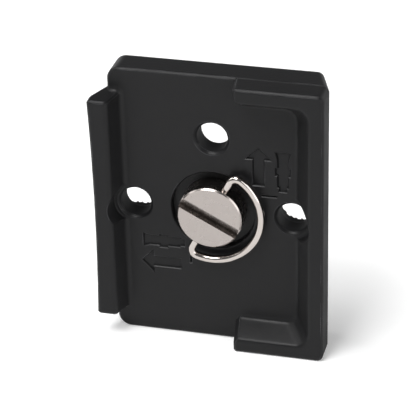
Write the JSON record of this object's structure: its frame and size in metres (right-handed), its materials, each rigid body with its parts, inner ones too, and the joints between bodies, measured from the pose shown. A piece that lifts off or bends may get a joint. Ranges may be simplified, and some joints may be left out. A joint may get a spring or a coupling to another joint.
{
  "type": "tripod quick release plate",
  "caption": "Cast camera plate with a ribbed rubber pad, dovetail flanges and a captive slotted screw with a folding D-ring.",
  "frame": {"origin": "on the screw's axis, in the plane of the camera's underside", "axes": "+X across the plate towards the C-shaped rim, +Y along the screw towards the camera, +Z along the plate towards its top hole"},
  "size_m": [0.0417, 0.0149, 0.0524],
  "materials": {
    "coated_aluminium": "satin black coat on a die casting",
    "pad_rubber": "matt moulded rubber",
    "plated_steel": "turned and nickel plated",
    "spring_steel": "stamped and oiled",
    "bright_wire": "drawn wire, nickel plated"
  },
  "bodies": {
    "plate": {"plate_body": "coated_aluminium", "grip_pad": "pad_rubber"},
    "clip": {"retaining_clip": "spring_steel"},
    "screw": {"camera_screw": "plated_steel"},
    "ring": {"d_ring": "bright_wire"}
  },
  "joints": [
    {"name": "screw_slide", "type": "slide", "parent": "plate", "child": "clip", "axis": [0, -1, 0], "range_m": [0, 0.00185]},
    {"name": "screw_spin", "type": "hinge", "parent": "clip", "child": "screw", "pos_m": [0, 0, 0], "axis": [0, 1, 0], "continuous": true},
    {"name": "ring_fold", "type": "hinge", "parent": "screw", "child": "ring", "pos_m": [0, -0.0075, 0], "axis": [-0.4618, 0, -0.887], "range_deg": [0, 180]}
  ]
}
